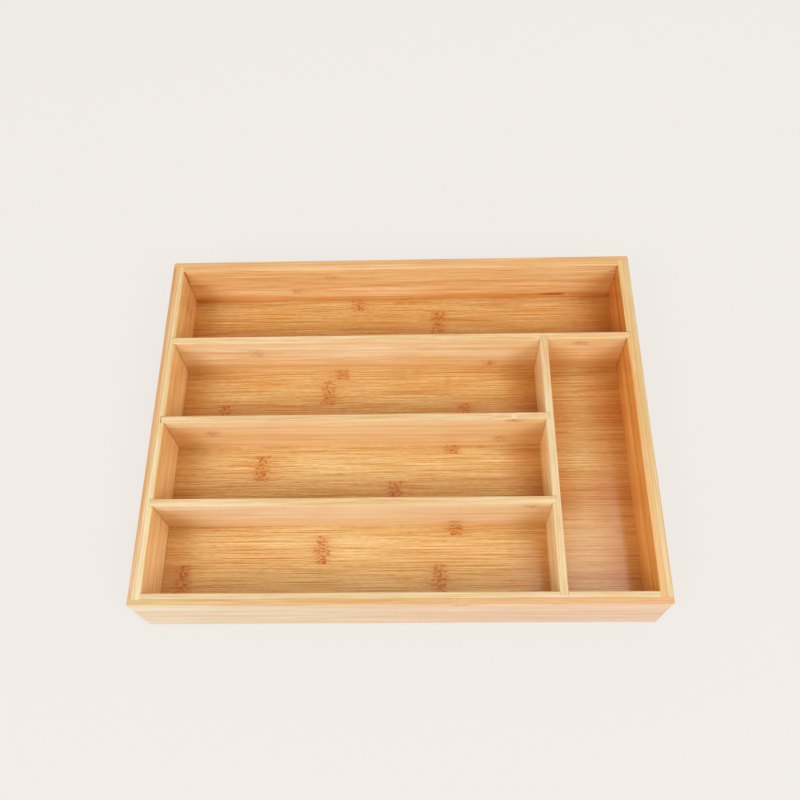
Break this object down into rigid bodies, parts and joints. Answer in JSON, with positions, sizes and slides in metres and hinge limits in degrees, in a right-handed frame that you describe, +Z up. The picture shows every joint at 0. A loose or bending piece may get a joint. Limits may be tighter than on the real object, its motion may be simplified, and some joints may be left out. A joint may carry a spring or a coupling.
{
  "type": "cutlery tray",
  "caption": "Shallow rectangular wooden drawer tray with rabbeted walls, a grooved-in floor and let-in dividers that part it into bays for cutlery.",
  "frame": {"origin": "centre of the underside, on the plane of the walls' bottom edges", "axes": "+X to the right along the long side, +Y to the back where the long compartment lies, +Z up out of the open top"},
  "size_m": [0.34, 0.26, 0.05],
  "materials": {
    "outer_ply": "clear satin lacquer on caramel bamboo",
    "inner_ply": "clear satin lacquer on pale bamboo",
    "floor_board": "clear satin lacquer on flat-laid bamboo strips",
    "divider_board": "clear satin lacquer on pale bamboo"
  },
  "bodies": {
    "root": {"front_wall_outer_ply": "outer_ply", "front_wall_inner_ply": "inner_ply", "back_wall_outer_ply": "outer_ply", "back_wall_inner_ply": "inner_ply", "left_wall_outer_ply": "outer_ply", "left_wall_inner_ply": "inner_ply", "right_wall_outer_ply": "outer_ply", "right_wall_inner_ply": "inner_ply", "floor_panel": "floor_board", "rear_divider": "divider_board", "side_divider": "divider_board", "middle_cross_divider": "divider_board", "front_cross_divider": "divider_board"}
  },
  "joints": []
}
